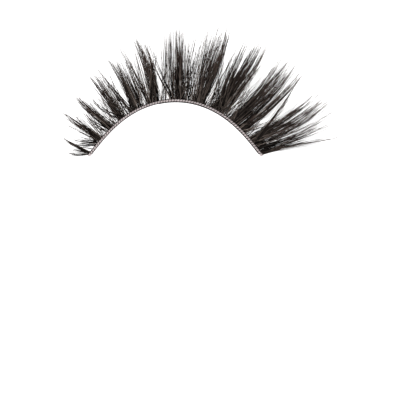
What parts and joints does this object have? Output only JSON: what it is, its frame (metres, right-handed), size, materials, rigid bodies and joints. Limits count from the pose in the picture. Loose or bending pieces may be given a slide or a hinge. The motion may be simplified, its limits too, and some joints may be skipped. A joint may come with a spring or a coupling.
{
  "type": "false eyelash strip",
  "caption": "Curved strip of false eyelashes: tapered dark bundles tied along a thin clear band, longer towards the outer corner, with tips that curl up.",
  "frame": {"origin": "middle of the band's underside at its crown", "axes": "+X towards the outer corner of the eye, +Y the way the lashes point from the crown, +Z the way their tips curl"},
  "size_m": [0.0424, 0.0205, 0.007],
  "materials": {
    "clear_nylon": "clear drawn nylon, glossy",
    "lash_fibre": "drawn black-brown polyester fibre, satin"
  },
  "bodies": {
    "root": {"band": "clear_nylon", "lash_cluster_01": "lash_fibre", "lash_cluster_02": "lash_fibre", "lash_cluster_03": "lash_fibre", "lash_cluster_04": "lash_fibre", "lash_cluster_05": "lash_fibre", "lash_cluster_06": "lash_fibre", "lash_cluster_07": "lash_fibre", "lash_cluster_08": "lash_fibre", "lash_cluster_09": "lash_fibre", "lash_cluster_10": "lash_fibre", "lash_cluster_11": "lash_fibre", "lash_cluster_12": "lash_fibre", "wisp_01": "lash_fibre", "wisp_02": "lash_fibre", "wisp_03": "lash_fibre", "wisp_04": "lash_fibre", "wisp_05": "lash_fibre", "wisp_06": "lash_fibre", "wisp_07": "lash_fibre", "wisp_08": "lash_fibre", "wisp_09": "lash_fibre", "wisp_10": "lash_fibre"}
  },
  "joints": []
}
